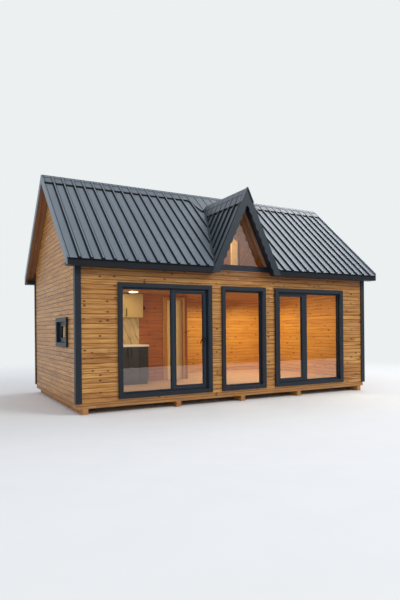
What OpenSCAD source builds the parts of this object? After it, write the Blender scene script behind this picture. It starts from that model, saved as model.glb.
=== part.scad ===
// Timber cabin on skids: hollow walls, ribbed steel roof with a front dormer,
// full-height glazing and one glazed entry door that swings inwards.
// Millimetres, +Z up, front wall faces -Y, origin on the ground under the middle.

/* [House] */
// Length over the corner trims
house_l = 7000; // [6000:50:8600]
// Depth over the corner trims
house_d = 3916; // [3300:10:4700]
// Thickness of the outer walls
wall_t = 140; // [90:5:200]
// Height of the skids
skid_h = 108; // [80:1:160]
// Width of a skid
skid_w = 100; // [70:1:140]
// Height of the rim beams
rim_h = 93; // [70:1:160]
// Height of the floor above the ground
floor_z = 283; // [230:1:360]
// Underside of the ceiling above the ground
ceiling_z = 2340; // [2320:5:2480]
// Thickness of the loft floor
loft_floor_t = 60; // [40:1:120]
// Thickness of the trim boards
trim_t = 20; // [12:1:30]
// Width of a corner trim's leg
corner_w = 108; // [80:1:140]

/* [Roof] */
// Pitch of the main roof in degrees
pitch = 42; // [35:0.5:48]
// Overhang at the eaves, past the corner trims
eave_over = 200; // [120:5:300]
// Overhang at the gables, past the corner trims
gable_over = 190; // [120:5:300]
// Top of the roof deck at the eaves
eave_z = 2757; // [2740:1:2900]
// Thickness of the roof deck, with its rafters
deck_t = 92; // [70:1:160]
// Height of the fascia boards
fascia_h = 140; // [120:1:200]
// Thickness of the boxed soffits under the eaves
soffit_t = 60; // [20:1:90]
// Distance between the ribs of the roof sheets
rib_pitch = 210; // [150:5:300]
// Height of a rib
rib_h = 30; // [20:1:45]
// Thickness of the sheet between its ribs
sheet_t = 4; // [2:1:8]
// Length of a ridge cap's leg down the slope
cap_leg = 250; // [150:5:320]
// Width of the boards along the gable edges
barge_w = 130; // [110:1:180]

/* [Dormer] */
// Drop from the main roof's deck at its ridge to the dormer's
dormer_drop = 393; // [250:1:600]
// Steepness of the dormer's slopes, rise over run
dormer_m = 2.1; // [1.9:0.05:2.3]
// Thickness of the dormer's deck
dormer_t = 60; // [40:1:80]
// Height of the window sill under the dormer
dormer_sill_z = 2705; // [2660:1:2740]
// Height of the dormer's sill rail
dormer_rail_h = 120; // [80:1:160]
// Width of the open valley beside the dormer
valley_w = 80; // [60:1:120]
// Width of a dormer barge board, measured level
dormer_barge_w = 165; // [120:1:200]
// Depth of the waves along the dormer barge boards
wave_h = 24; // [0:1:30]
// Length of one wave, measured upright
wave_l = 158; // [100:1:250]

/* [Windows] */
// Bottom of the casings along the front
casing_z0 = 241; // [220:1:300]
// Height of the casings along the front
casing_h = 2137; // [1900:1:2150]
// Width of a casing's face
casing_w = 80; // [60:1:110]
// How far a casing stands out from the wall
casing_out = 40; // [20:1:60]
// Thickness of the casing's lining in the opening
lining_t = 12; // [8:1:20]
// Width of a window frame's face
frame_w = 40; // [34:1:80]
// Depth of a window frame
frame_d = 70; // [50:1:90]
// How far the frames lie behind the wall's face
frame_set = 21; // [10:1:40]
// Thickness of the glass units
glass_t = 24; // [16:1:36]
// Entry unit: middle and width over its casing
entry_x = -1730; // [-2000:1:-1500]
entry_w = 1970; // [1800:1:2150]
// Middle window: middle and width over its casing
middle_x = 36; // [-100:1:100]
middle_w = 1088; // [900:1:1150]
// Right unit: middle and width over its casing
right_x = 1812; // [1700:1:2000]
right_w = 1965; // [1800:1:2010]
// Width of the right unit's sash
sash_w = 769; // [500:1:900]
// Width of the mullions in the entry unit and the right unit
mullion_w = 46; // [36:1:70]
right_mullion_w = 80; // [40:1:120]
// Gable window: middle, bottom, width and height over its casing
gable_win_y = -910; // [-1000:1:1000]
gable_win_z = 1190; // [900:1:1300]
gable_win_w = 880; // [700:1:1300]
gable_win_h = 560; // [450:1:900]
// Width of the gable window's frame with its sash
gable_frame_w = 100; // [60:1:110]

/* [Entry door] */
// Distance from the entry unit's right inner frame edge to its mullion
leaf_bay = 728; // [640:1:800]
// Thickness of the door leaf
leaf_t = 60; // [44:1:68]
// Width of the leaf's stiles and rails
stile_w = 55; // [45:1:90]
// Gap between the leaf and the frame on the hinge side, above and below
leaf_gap = 5; // [5:0.5:8]
// Gap between the leaf and the frame on the handle side
latch_gap = 10; // [9:0.5:14]
// Height of the lever above the floor
lever_h = 1035; // [850:5:1150]
// Radius of the hinge pins
pin_r = 6; // [4:0.5:9]

/* [Inside] */
// Front face of the partition
partition_y = 315; // [0:5:700]
// Thickness of the partition
partition_t = 100; // [70:5:140]
// Left and right side of the doorway in the partition
doorway_x0 = -700; // [-900:5:-600]
doorway_x1 = -259; // [-500:1:-200]
// Height of that doorway
doorway_h = 1933; // [1850:1:2000]
// Width of the post that ends the partition
post_w = 106; // [80:1:140]
// Right end of the kitchen units
kitchen_x = -1436; // [-2200:1:-1100]
// Depth of the base cabinets
cabinet_d = 580; // [500:5:650]
// Height of the worktop above the floor
worktop_h = 885; // [820:5:950]
// Thickness of the worktop
worktop_t = 40; // [20:1:60]
// Underside of the wall cabinets above the floor
wall_cabinet_h = 1496; // [1400:1:1560]
// Depth of the wall cabinets
wall_cabinet_d = 350; // [280:5:400]
// Radius of the ceiling light
light_r = 100; // [80:5:200]
// Width of the post in the loft
loft_post_w = 70; // [50:5:120]
// Width of the board panel beside that post
loft_panel_w = 180; // [120:5:300]
// Top of that panel above the ground
loft_panel_z = 3806; // [3400:5:3900]

/* [Hidden] */

$fn = 32;
big = 12000;

// Colours
pine = "#b07f4a";
pine_inside = "#d08230";
dark_wood = "#6b3a22";
anthracite = "#2c363e";
roof_grey = "#6d7780";
cream = "#efe3c4";

// Wall planes
wall_x = house_l / 2 - trim_t;
wall_y = house_d / 2 - trim_t;
in_x = wall_x - wall_t;
in_y = wall_y - wall_t;
wall_z0 = skid_h + rim_h;
rim_inset = 15;
rim_t = wall_t + 10;

// Skids: front to back, the outer ones set in from the gables
skid_y = wall_y;
skid_x_out = house_l / 2 - 175;
skid_x_mid = 1490;

// Play between two sloping faces that lie on each other
seat = 0.1;

// Main roof: the top of its deck is ridge_z - slope * |y|
slope = tan(pitch);
roof_x = house_l / 2 + gable_over;
eave_y = house_d / 2 + eave_over;
ridge_z = eave_z + slope * eave_y;
deck_v = deck_t / cos(pitch);
seat_v = seat / cos(pitch);
under_z = ridge_z - deck_v - seat_v;
deck_x = roof_x - trim_t;
deck_y = eave_y - trim_t;
sheet_l = (eave_y + 12) / cos(pitch);
rib_base = 62;
rib_top = 26;
cap_t = 4;
cap_low = sheet_t + 22;
cap_flat = 50;
cap_high = sheet_t + rib_h;

// Dormer: the top of its deck is dormer_z - dormer_m * |x|
dormer_z = ridge_z - dormer_drop;
dormer_a = atan(dormer_m);
dormer_v = dormer_t / cos(dormer_a);
dormer_under_z = dormer_z - dormer_v;
dormer_rafter_v = 116;
dormer_edge_v = (sheet_t + rib_h + cap_t + 2) / cos(dormer_a);
fascia_z = eave_z - fascia_h + 12;

// Openings in the walls, and the planes of frames and glass
open_in = casing_w - lining_t;
open_z0 = casing_z0 + open_in;
open_z1 = casing_z0 + casing_h - open_in;
frame_y = wall_y - frame_set;
glass_y = frame_y - frame_d / 2;
entry_x0 = entry_x - entry_w / 2 + open_in;
entry_x1 = entry_x + entry_w / 2 - open_in;
middle_x0 = middle_x - middle_w / 2 + open_in;
middle_x1 = middle_x + middle_w / 2 - open_in;
right_x0 = right_x - right_w / 2 + open_in;
right_x1 = right_x + right_w / 2 - open_in;
bay_z0 = open_z0 + frame_w;
bay_z1 = open_z1 - frame_w;

// Right unit: its sash ends at the mullion
sash_x1 = right_x0 + sash_w;

// Entry door, hinged on the mullion
latch_x = entry_x1 - frame_w;
mullion_x1 = latch_x - leaf_bay;
mullion_x0 = mullion_x1 - mullion_w;
leaf_x0 = mullion_x1 + leaf_gap;
leaf_x1 = latch_x - latch_gap;
leaf_z0 = bay_z0 + leaf_gap;
leaf_z1 = bay_z1 - leaf_gap;
hinge_face_y = -frame_y + frame_d;
leaf_in_y = hinge_face_y - 2;
leaf_out_y = leaf_in_y - leaf_t;
knuckle_r = pin_r + 5;
pin_x = mullion_x1 + leaf_gap / 2;
pin_y = hinge_face_y + knuckle_r + 1;
pin_play = 0.05;
knuckle_h = 36;
hinge_zs = [leaf_z0 + 220, (leaf_z0 + leaf_z1) / 2, leaf_z1 - 220];
lever_z = floor_z + lever_h;
lever_x = leaf_x1 - stile_w / 2;
spindle_r = 8;
lever_l = 120;
// How far the lever hangs below level, in degrees
lever_turn = 65;

// Inside
partition_y1 = partition_y + partition_t;
doorway_z = floor_z + doorway_h;
worktop_z = floor_z + worktop_h;
splash_t = 8;
loft_post_x = 1160;
loft_panel_t = 20;
light_x = -1834;
light_y = -429;
light_t = 25;

// The solid under a roof plane: everything below the line through the ridge
// height z, cut off at the half depth y.
module under_main(z, y = big) {
    rotate([90, 0, 90]) translate([0, 0, -big / 2]) linear_extrude(big)
        polygon([[-y, -big], [y, -big], [y, z - slope * y], [0, z], [-y, z - slope * y]]);
}

// The same for the dormer's two planes, from y0 to y1.
module under_dormer(z, y0, y1, z0 = 0) {
    w = (z - z0) / dormer_m;
    translate([0, y1, 0]) rotate([90, 0, 0]) linear_extrude(y1 - y0)
        polygon([[-w, z0], [w, z0], [0, z]]);
}

module box(x0, x1, y0, y1, z0, z1) {
    translate([x0, y0, z0]) cube([x1 - x0, y1 - y0, z1 - z0]);
}

// A ring in the plane of the front wall, with its front face at y.
module front_ring(x0, x1, z0, z1, w, y, d) {
    difference() {
        box(x0, x1, y, y + d, z0, z1);
        box(x0 + w, x1 - w, y - 1, y + d + 1, z0 + w, z1 - w);
    }
}

// A casing: a face board on the wall and a lining back to the frame.
module casing(x0, x1, z0, z1) {
    difference() {
        union() {
            box(x0, x1, -wall_y - casing_out, -wall_y, z0, z1);
            box(x0 + open_in, x1 - open_in, -wall_y - casing_out, -frame_y,
                z0 + open_in, z1 - open_in);
        }
        box(x0 + casing_w, x1 - casing_w, -wall_y - casing_out - 1, -frame_y + 1,
            z0 + casing_w, z1 - casing_w);
    }
}

// Turns a piece made for the front wall onto the left gable wall.
module on_left_gable() {
    translate([-wall_x, 0, 0]) rotate([0, 0, -90]) translate([0, wall_y, 0]) children();
}

gable_x0 = -gable_win_y - gable_win_w / 2;
gable_x1 = -gable_win_y + gable_win_w / 2;
gable_z1 = gable_win_z + gable_win_h;

// Outline of a ribbed sheet: ribs at the given places between a and b.
function rib_points(c) = [[c - rib_base / 2, sheet_t], [c - rib_top / 2, sheet_t + rib_h],
                          [c + rib_top / 2, sheet_t + rib_h], [c + rib_base / 2, sheet_t]];
function sheet_outline(a, b, centres) =
    concat([[a, 0], [a, sheet_t]], [for (c = centres) each rib_points(c)],
           [[b, sheet_t], [b, 0]]);

// Outline of a ridge cap's leg: it lies on the ribs at the given places and
// bridges the flats between them, clear of the ribs' sides.
function cap_points(c, up) =
    [[c - rib_base / 2 - cap_t, cap_low + up], [c - rib_top / 2 - up, sheet_t + rib_h + up],
     [c + rib_top / 2 + up, sheet_t + rib_h + up], [c + rib_base / 2 + cap_t, cap_low + up]];
function reversed(v) = [for (i = [len(v) - 1 : -1 : 0]) v[i]];
function cap_outline(a, b, centres) =
    concat([[a, cap_low], [a, cap_low + cap_t]],
           [for (c = centres) each cap_points(c, cap_t)],
           [[b, cap_low + cap_t], [b, cap_low]],
           reversed([for (c = centres) each cap_points(c, 0)]));

// One leg, along Z from beyond the ridge: a flat strip at the ridge lies on
// the ribs, a step closes its edge, and below it the leg follows the ribs.
module cap_side(a, b, centres) {
    translate([0, 0, -100]) linear_extrude(cap_flat + 100)
        polygon([[a, cap_high], [a, cap_high + cap_t], [b, cap_high + cap_t], [b, cap_high]]);
    translate([0, 0, cap_flat]) linear_extrude(cap_t)
        polygon(concat([[a, cap_low], [a, cap_high + cap_t], [b, cap_high + cap_t], [b, cap_low]],
                       reversed([for (c = centres) each cap_points(c, 0)])));
    translate([0, 0, cap_flat]) linear_extrude(cap_leg - cap_flat)
        polygon(cap_outline(a, b, centres));
}

// Main slope's own frame: X along the ridge, Y up the slope to 0, Z outwards.
module on_front_slope() {
    translate([0, 0, ridge_z]) rotate([pitch, 0, 0]) translate([0, 0, seat]) children();
}

// Dormer slope's own frame: X down the slope from 0, Y along, Z outwards.
module on_dormer_slope(side) {
    mirror([side < 0 ? 1 : 0, 0, 0])
        translate([0, 0, dormer_z]) rotate([0, dormer_a, 0]) translate([0, 0, seat]) children();
}

// Everything above the main roof's deck, raised by z.
module above_main(z) {
    difference() {
        box(-big / 2, big / 2, -big / 2, big / 2, -200, big);
        under_main(ridge_z + z, big / 2 + 1);
    }
}

module skids() {
    color(pine) for (x = [-skid_x_out, -skid_x_mid, 0, skid_x_mid, skid_x_out])
        box(x - skid_w / 2, x + skid_w / 2, -skid_y, skid_y - 40, 0, skid_h);
}

module rim_long() {
    color(pine) for (s = [0, 1]) mirror([0, s, 0])
        box(-wall_x + rim_inset, wall_x - rim_inset,
            -wall_y + rim_inset, -wall_y + rim_inset + rim_t, skid_h, wall_z0);
}

module rim_ends() {
    color(pine) for (s = [0, 1]) mirror([s, 0, 0])
        box(-wall_x + rim_inset, -wall_x + rim_inset + rim_t,
            -wall_y + rim_inset + rim_t, wall_y - rim_inset - rim_t, skid_h, wall_z0);
}

module floor_deck() {
    color(pine_inside) box(-in_x, in_x, -in_y, in_y, wall_z0, floor_z);
}

// A full-thickness stretch of the front wall between two openings.
module front_pier(x0, x1) {
    color(pine) box(x0, x1, -wall_y, -in_y, open_z0, open_z1);
}

module front_wall_left() {
    front_pier(-wall_x, entry_x0);
}

module front_wall_piers() {
    front_pier(entry_x1, middle_x0);
    front_pier(middle_x1, right_x0);
}

module front_wall_right() {
    front_pier(right_x1, wall_x);
}

module front_wall_sill() {
    color(pine) box(-wall_x, wall_x, -wall_y, -in_y, wall_z0, open_z0);
}

module front_wall_header() {
    color(pine) difference() {
        intersection() {
            box(-wall_x, wall_x, -wall_y, -in_y, open_z1, big);
            under_main(under_z);
        }
        difference() {
            under_dormer(dormer_z, -wall_y - 1, -in_y + 1);
            box(-big, big, -big, big, -1, dormer_sill_z);
        }
    }
}

module back_wall() {
    color(pine) intersection() {
        box(-wall_x, wall_x, in_y, wall_y, wall_z0, big);
        under_main(under_z);
    }
}

module gable_wall(x0) {
    intersection() {
        box(x0, x0 + wall_t, -in_y, in_y, wall_z0, big);
        under_main(under_z);
    }
}

module left_gable_wall() {
    color(pine) difference() {
        gable_wall(-wall_x);
        on_left_gable() box(gable_x0 + open_in, gable_x1 - open_in, -wall_y - 1, -in_y + 1,
                            gable_win_z + open_in, gable_z1 - open_in);
    }
}

module right_gable_wall() {
    color(pine) gable_wall(in_x);
}

module corner_trims() {
    color(anthracite) intersection() {
        for (sx = [0, 1], sy = [0, 1]) mirror([sx, 0, 0]) mirror([0, sy, 0])
            translate([-house_l / 2, -house_d / 2, wall_z0]) difference() {
                cube([corner_w, corner_w, big]);
                translate([trim_t, trim_t, -1]) cube([corner_w, corner_w, big]);
            }
        under_main(under_z);
    }
}

module partition_wall() {
    color(pine_inside) difference() {
        box(-in_x, doorway_x1, partition_y, partition_y1, floor_z, ceiling_z);
        box(doorway_x0, doorway_x1 + 1, partition_y - 1, partition_y1 + 1, floor_z - 1, doorway_z);
    }
}

// The post that ends the partition, and a post in the loft under the ridge.
module inner_posts() {
    h = loft_post_w / 2;
    color(dark_wood) {
        box(doorway_x1, doorway_x1 + post_w, partition_y - 6, partition_y1 + 6,
            floor_z, ceiling_z);
        intersection() {
            box(loft_post_x - h, loft_post_x + h, -h, h, ceiling_z + loft_floor_t, big);
            under_main(under_z);
        }
    }
}

// A narrow board panel in the loft, beside its post, with a peaked top.
module loft_panel() {
    x1 = loft_post_x - loft_post_w / 2;
    color(pine_inside) translate([0, loft_panel_t / 2, 0]) rotate([90, 0, 0])
        linear_extrude(loft_panel_t)
        polygon([[x1 - loft_panel_w, ceiling_z + loft_floor_t], [x1, ceiling_z + loft_floor_t],
                 [x1, loft_panel_z - 50], [x1 - loft_panel_w / 2, loft_panel_z],
                 [x1 - loft_panel_w, loft_panel_z - 110]]);
}

module doorway_trim() {
    color(pine_inside) difference() {
        box(doorway_x0 - 118, doorway_x1, partition_y - 15, partition_y, floor_z, doorway_z + 60);
        box(doorway_x0, big, partition_y - 16, partition_y + 1, floor_z - 1, doorway_z);
    }
}

module doorway_panel() {
    color(cream) box(doorway_x0, doorway_x1, partition_y1 - 20, partition_y1, floor_z, doorway_z);
}

module loft_floor() {
    color(pine_inside) box(-in_x, in_x, -in_y, in_y, ceiling_z, ceiling_z + loft_floor_t);
}

module main_deck() {
    intersection() {
        box(-deck_x, deck_x, -deck_y, 0, 0, big);
        difference() {
            under_main(ridge_z);
            under_main(ridge_z - deck_v, big + 1);
        }
    }
}

module roof_deck_front() {
    color(pine) difference() {
        main_deck();
        under_dormer(dormer_z, -big, 0);
    }
}

module roof_deck_back() {
    color(pine) mirror([0, 1, 0]) main_deck();
}

rib_half = floor((deck_x - rib_base) / rib_pitch - 0.5);
main_ribs = [for (i = [-rib_half - 1 : rib_half]) (i + 0.5) * rib_pitch];
dormer_ribs = [for (y = [-deck_y + rib_base : rib_pitch : -rib_base]) y];

module main_sheet() {
    on_front_slope() rotate([90, 0, 0]) linear_extrude(sheet_l)
        polygon(sheet_outline(-deck_x + seat, deck_x - seat, main_ribs));
}

module roof_sheet_front() {
    color(roof_grey) difference() {
        main_sheet();
        under_dormer(dormer_z + dormer_m * valley_w, -big, 0);
    }
}

module roof_sheet_back() {
    color(roof_grey) mirror([0, 1, 0]) main_sheet();
}

// The two legs of a ridge cap meet in a mitre.
module ridge_cap() {
    color(roof_grey) for (s = [0, 1]) mirror([0, s, 0]) intersection() {
        on_front_slope() rotate([90, 0, 0])
            cap_side(-deck_x + seat, deck_x - seat, main_ribs);
        box(-big, big, -big, 0, 0, big);
    }
}

module fascias() {
    color(anthracite) {
        difference() {
            box(-deck_x, deck_x, -eave_y, -deck_y, fascia_z, eave_z);
            under_dormer(dormer_z + dormer_edge_v, -eave_y - 1, -deck_y + 1);
        }
        box(-deck_x, deck_x, deck_y, eave_y, fascia_z, eave_z);
    }
}

// Boxed soffits between the wall and the fascia, beside the corner trims.
module eave_soffits() {
    color(anthracite) for (s = [0, 1]) mirror([0, s, 0]) difference() {
        intersection() {
            box(-deck_x, deck_x, -deck_y, -wall_y, fascia_z, fascia_z + soffit_t);
            under_main(under_z);
        }
        for (t = [0, 1]) mirror([t, 0, 0])
            box(wall_x - corner_w + trim_t, house_l / 2, -house_d / 2, 0, 0, big);
        if (s == 0) under_dormer(dormer_z + dormer_m * seat, -big, 0);
    }
}

// The boards along a gable's two edges, mitred at the ridge, as high as the
// ribs of the sheet that ends against them.
module gable_barges() {
    top = ridge_z + (sheet_t + rib_h) / cos(pitch);
    color(roof_grey) for (s = [0, 1]) mirror([s, 0, 0]) intersection() {
        box(-roof_x, -deck_x, -eave_y, eave_y, 0, big);
        difference() {
            under_main(top);
            under_main(top - barge_w / cos(pitch), big + 1);
        }
    }
}

module dormer_deck() {
    color(pine) intersection() {
        difference() {
            under_dormer(dormer_z, -deck_y, 0);
            under_dormer(dormer_under_z, -deck_y - 1, 1, -1);
        }
        union() {
            above_main(-deck_v);
            box(-big / 2, big / 2, -deck_y, -wall_y, fascia_z, big);
            box(-big / 2, big / 2, -wall_y - 1, -in_y, dormer_sill_z, big);
        }
    }
}

module dormer_sheets() {
    color(roof_grey) for (s = [-1, 1]) intersection() {
        on_dormer_slope(s) rotate([90, 0, 90]) linear_extrude(big / 4)
            polygon(sheet_outline(-deck_y + seat, 0, dormer_ribs));
        above_main(sheet_t / cos(pitch) + 2 * seat_v);
        box(s < 0 ? -big / 2 : 0, s < 0 ? 0 : big / 2, -big, 0, fascia_z, big);
    }
}

module dormer_ridge_cap() {
    color(roof_grey) intersection() {
        for (s = [-1, 1]) intersection() {
            on_dormer_slope(s) rotate([90, 0, 90])
                cap_side(-deck_y + seat, 0, dormer_ribs);
            box(s < 0 ? -big / 2 : 0, s < 0 ? 0 : big / 2, -big, 0, 0, big);
        }
        above_main(sheet_t / cos(pitch) + 2 * seat_v);
    }
}

// The wavy boards along the dormer's front edges.
function wave(z) = wave_h / 2 * sin(360 * z / wave_l);
module dormer_barges() {
    top = dormer_z + dormer_edge_v;
    inner = top - dormer_barge_w * dormer_m;
    steps = [for (k = [0 : 64]) fascia_z + (inner - 60 - fascia_z) * k / 64];
    edge = [for (z = steps) [(inner - z) / dormer_m + wave(z), z]];
    w = (top - fascia_z) / dormer_m;
    color(anthracite) translate([0, -deck_y, 0]) rotate([90, 0, 0])
        linear_extrude(trim_t + 6)
            polygon(concat([[w, fascia_z], [0, top], [-w, fascia_z]],
                           [for (p = edge) [-p[0], p[1]]], [[0, inner - 20]],
                           [for (k = [64 : -1 : 0]) edge[k]]));
}

// Open valleys: a strip on the main deck, between the two roofs' sheets.
module valley_flashings() {
    color(roof_grey) intersection() {
        difference() {
            under_dormer(dormer_z + dormer_m * valley_w, -deck_y, 0);
            under_dormer(dormer_z + dormer_m * seat, -deck_y - 1, 1, -1);
        }
        on_front_slope() box(-big / 2, big / 2, -big / 2, 0, 0, sheet_t);
    }
}

module dormer_sill() {
    w = (dormer_under_z - dormer_sill_z) / dormer_m;
    v = (dormer_under_z - dormer_sill_z - dormer_rail_h) / dormer_m;
    color(anthracite) translate([0, -wall_y + frame_d, 0]) rotate([90, 0, 0])
        linear_extrude(frame_d)
            polygon([[-w, dormer_sill_z], [w, dormer_sill_z],
                     [v, dormer_sill_z + dormer_rail_h], [-v, dormer_sill_z + dormer_rail_h]]);
}

module dormer_frame() {
    z0 = dormer_sill_z + dormer_rail_h;
    color(dark_wood) difference() {
        under_dormer(dormer_under_z - dormer_m * seat, -wall_y, -wall_y + frame_d, z0);
        under_dormer(dormer_under_z - dormer_rafter_v, -wall_y - 1, -wall_y + frame_d + 1,
                     z0 - 1);
    }
}

module dormer_glass() {
    y = -wall_y + frame_d / 2;
    color("#9fb4bd80") under_dormer(dormer_under_z - dormer_rafter_v, y - glass_t / 2,
                                    y + glass_t / 2, dormer_sill_z + dormer_rail_h);
}

module window_casings() {
    z1 = casing_z0 + casing_h;
    color(anthracite) {
        casing(entry_x - entry_w / 2, entry_x + entry_w / 2, casing_z0, z1);
        casing(middle_x - middle_w / 2, middle_x + middle_w / 2, casing_z0, z1);
        casing(right_x - right_w / 2, right_x + right_w / 2, casing_z0, z1);
        on_left_gable() casing(gable_x0, gable_x1, gable_win_z, gable_z1);
    }
}

// The flap of a hinge, from its knuckle to the face at y it is fixed to.
module hinge_flap(side, y) {
    reach = knuckle_r + 16;
    mirror([side < 0 ? 1 : 0, 0, 0])
        box(4, reach, y - pin_y, -4, -knuckle_h / 2, knuckle_h / 2);
}

// Fixed half of a hinge: knuckles above and below the leaf's knuckle, with the
// pin through them, on the mullion's inner face.
module frame_hinge(z) {
    translate([pin_x, pin_y, z]) {
        cylinder(r = pin_r, h = 3 * knuckle_h, center = true);
        for (s = [-1, 1]) translate([0, 0, s * (knuckle_h + 0.3)]) {
            cylinder(r = knuckle_r, h = knuckle_h, center = true);
            hinge_flap(-1, hinge_face_y - 1);
        }
    }
}

module entry_frame() {
    color(anthracite) {
        front_ring(entry_x0, entry_x1, open_z0, open_z1, frame_w, -frame_y, frame_d);
        box(mullion_x0, mullion_x1, -frame_y, hinge_face_y, bay_z0, bay_z1);
        for (z = hinge_zs) frame_hinge(z);
    }
}

// Frames of the windows that stay shut; the right unit's narrow sash is part
// of its frame.
module window_frames() {
    color(anthracite) {
        front_ring(middle_x0, middle_x1, open_z0, open_z1, frame_w, -frame_y, frame_d);
        difference() {
            box(right_x0, right_x1, -frame_y, -frame_y + frame_d, open_z0, open_z1);
            box(right_x0 + frame_w + stile_w, sash_x1 - stile_w, -big, 0,
                bay_z0 + stile_w, bay_z1 - stile_w);
            box(sash_x1 + right_mullion_w, right_x1 - frame_w, -big, 0, bay_z0, bay_z1);
        }
        on_left_gable() front_ring(gable_x0 + open_in, gable_x1 - open_in,
                                   gable_win_z + open_in, gable_z1 - open_in,
                                   gable_frame_w, -frame_y, frame_d);
    }
}

// A pane in the front wall's glass plane.
module pane(x0, x1, z0, z1) {
    box(x0, x1, -glass_y - glass_t / 2, -glass_y + glass_t / 2, z0, z1);
}

module window_glass() {
    color("#9fb4bd80") {
        pane(entry_x0 + frame_w, mullion_x0, bay_z0, bay_z1);
        pane(middle_x0 + frame_w, middle_x1 - frame_w, bay_z0, bay_z1);
        pane(right_x0 + frame_w + stile_w, sash_x1 - stile_w, bay_z0 + stile_w, bay_z1 - stile_w);
        pane(sash_x1 + right_mullion_w, right_x1 - frame_w, bay_z0, bay_z1);
        on_left_gable() pane(gable_x0 + open_in + gable_frame_w,
                             gable_x1 - open_in - gable_frame_w,
                             gable_win_z + open_in + gable_frame_w,
                             gable_z1 - open_in - gable_frame_w);
    }
}

// The leaf with its knuckles on the inside, bored for the pins and the spindle.
module entry_door() {
    color(anthracite) difference() {
        union() {
            front_ring(leaf_x0, leaf_x1, leaf_z0, leaf_z1, stile_w, leaf_out_y, leaf_t);
            for (z = hinge_zs) translate([pin_x, pin_y, z]) {
                cylinder(r = knuckle_r, h = knuckle_h, center = true);
                hinge_flap(1, leaf_in_y);
            }
        }
        for (z = hinge_zs) translate([pin_x, pin_y, z])
            cylinder(r = pin_r + pin_play, h = 2 * knuckle_h, center = true);
        translate([lever_x, leaf_out_y - 1, lever_z]) rotate([-90, 0, 0])
            cylinder(r = spindle_r, h = leaf_t + 2);
    }
}

module entry_door_glass() {
    y = (leaf_out_y + leaf_in_y) / 2;
    color("#9fb4bd80") box(leaf_x0 + stile_w, leaf_x1 - stile_w, y - glass_t / 2, y + glass_t / 2,
                           leaf_z0 + stile_w, leaf_z1 - stile_w);
}

// A spindle through the stile with a rose and a lever on each side.
module entry_door_handle() {
    reach = 42;
    color(dark_wood) {
        translate([lever_x, leaf_out_y, lever_z]) rotate([-90, 0, 0])
            cylinder(r = spindle_r, h = leaf_t);
        for (s = [0, 1])
            translate([lever_x, s == 0 ? leaf_out_y : leaf_in_y, lever_z]) mirror([0, 1 - s, 0]) {
                rotate([-90, 0, 0]) cylinder(r = 22, h = 8);
                rotate([-90, 0, 0]) cylinder(r = spindle_r, h = reach);
                rotate([0, -lever_turn, 0]) translate([-lever_l + 10, reach - 12, -spindle_r])
                    cube([lever_l, 12, 2 * spindle_r]);
            }
    }
}

module base_cabinet() {
    toe = 100;
    color("#4a4b49") {
        box(-in_x, kitchen_x, partition_y - cabinet_d, partition_y, floor_z + toe,
            worktop_z - worktop_t);
        box(-in_x, kitchen_x - 2, partition_y - cabinet_d + 50, partition_y, floor_z,
            floor_z + toe);
    }
}

module worktop() {
    color("white") box(-in_x, kitchen_x + 15, partition_y - cabinet_d - 20, partition_y,
                       worktop_z - worktop_t, worktop_z);
}

module splashback() {
    color(cream) box(-in_x, kitchen_x + 8, partition_y - splash_t, partition_y, worktop_z,
                     floor_z + wall_cabinet_h);
}

module wall_cabinet() {
    color(cream) box(-in_x, kitchen_x - 28, partition_y - wall_cabinet_d, partition_y,
                     floor_z + wall_cabinet_h, ceiling_z - 25);
}

module ceiling_light() {
    color("white") translate([light_x, light_y, ceiling_z - light_t])
        cylinder(r = light_r, h = light_t);
}

skids();
rim_long();
rim_ends();
floor_deck();
front_wall_left();
front_wall_piers();
front_wall_right();
front_wall_header();
front_wall_sill();
back_wall();
left_gable_wall();
right_gable_wall();
corner_trims();
partition_wall();
inner_posts();
doorway_trim();
doorway_panel();
loft_panel();
loft_floor();
roof_deck_front();
roof_deck_back();
roof_sheet_front();
roof_sheet_back();
ridge_cap();
fascias();
eave_soffits();
gable_barges();
dormer_deck();
dormer_sheets();
dormer_ridge_cap();
dormer_barges();
valley_flashings();
dormer_sill();
dormer_frame();
dormer_glass();
window_casings();
entry_frame();
window_frames();
window_glass();
entry_door();
entry_door_glass();
entry_door_handle();
base_cabinet();
worktop();
splashback();
wall_cabinet();
ceiling_light();
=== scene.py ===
"""Looks of a timber cabin on skids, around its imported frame.

Metres, +Z up, front wall faces -Y, origin on the ground under the middle.
"""

import math

import bmesh
import bpy
from mathutils import Matrix, Vector

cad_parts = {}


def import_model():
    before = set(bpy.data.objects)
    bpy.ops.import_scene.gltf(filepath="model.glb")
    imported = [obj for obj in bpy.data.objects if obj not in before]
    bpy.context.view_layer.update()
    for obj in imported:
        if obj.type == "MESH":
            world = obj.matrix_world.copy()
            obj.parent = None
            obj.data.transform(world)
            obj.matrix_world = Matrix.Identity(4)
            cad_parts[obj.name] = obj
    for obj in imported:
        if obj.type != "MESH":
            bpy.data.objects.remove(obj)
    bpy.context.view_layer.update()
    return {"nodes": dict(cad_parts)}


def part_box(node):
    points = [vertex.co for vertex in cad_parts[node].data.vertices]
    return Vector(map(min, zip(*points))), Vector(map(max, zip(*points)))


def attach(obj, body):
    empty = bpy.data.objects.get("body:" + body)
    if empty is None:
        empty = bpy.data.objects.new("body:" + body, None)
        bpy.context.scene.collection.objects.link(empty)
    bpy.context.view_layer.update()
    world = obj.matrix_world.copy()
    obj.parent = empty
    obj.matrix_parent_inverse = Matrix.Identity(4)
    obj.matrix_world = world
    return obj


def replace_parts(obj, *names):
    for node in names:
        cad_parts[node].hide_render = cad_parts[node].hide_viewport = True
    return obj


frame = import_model()
NODES = frame["nodes"]

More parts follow.
